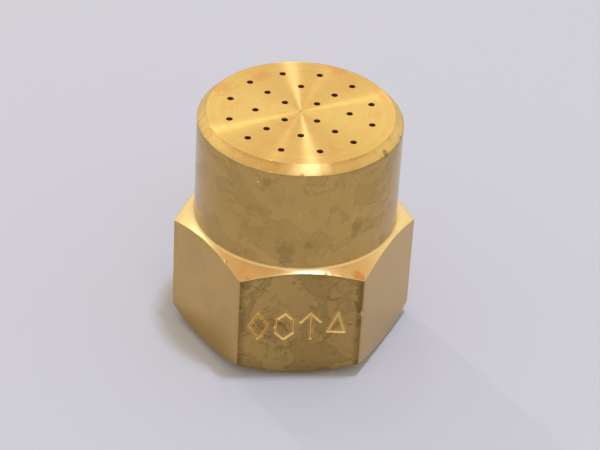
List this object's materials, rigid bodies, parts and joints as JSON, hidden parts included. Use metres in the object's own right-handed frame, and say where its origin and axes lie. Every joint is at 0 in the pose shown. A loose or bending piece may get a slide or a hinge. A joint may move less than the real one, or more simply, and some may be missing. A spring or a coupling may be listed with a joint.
{
  "type": "open multi-jet fire spray head",
  "caption": "Turned brass open fire spray head: hexagon inlet end with a female pipe thread, round barrel and a flat spray face drilled with concentric rings of fine jets.",
  "frame": {"origin": "centre of the inlet face, on which the head stands", "axes": "+Z is the way the water leaves, -Y is the front flat with the stamped row, X runs through two corners of the hexagon"},
  "size_m": [0.0312, 0.027, 0.0315],
  "materials": {
    "brass": "fine turned, lightly tarnished",
    "copper": "annealed, dull",
    "stainless": "fine brushed",
    "spring_steel": "drawn, slightly dark",
    "black_rubber": "matte",
    "red_fibre": "pressed fibre, matte"
  },
  "bodies": {
    "head": {"hex_body": "brass", "spray_disc": "brass", "disc_gasket": "copper", "valve_housing": "brass", "housing_o_ring": "black_rubber", "retaining_ring": "spring_steel", "spring_guide": "brass", "valve_spring": "spring_steel", "strainer_rim": "brass", "strainer_gauze": "stainless", "support_plate": "stainless", "inlet_washer": "red_fibre"},
    "poppet": {"valve_stem": "stainless", "poppet_head": "brass", "poppet_seal": "black_rubber", "seal_retainer": "stainless"}
  },
  "joints": [
    {"name": "poppet_lift", "type": "slide", "parent": "head", "child": "poppet", "axis": [0, 0, 1], "range_m": [0, 0.0018], "stiffness_N_per_m": 400, "springref_m": -0.004, "deforming": ["valve_spring"]}
  ]
}
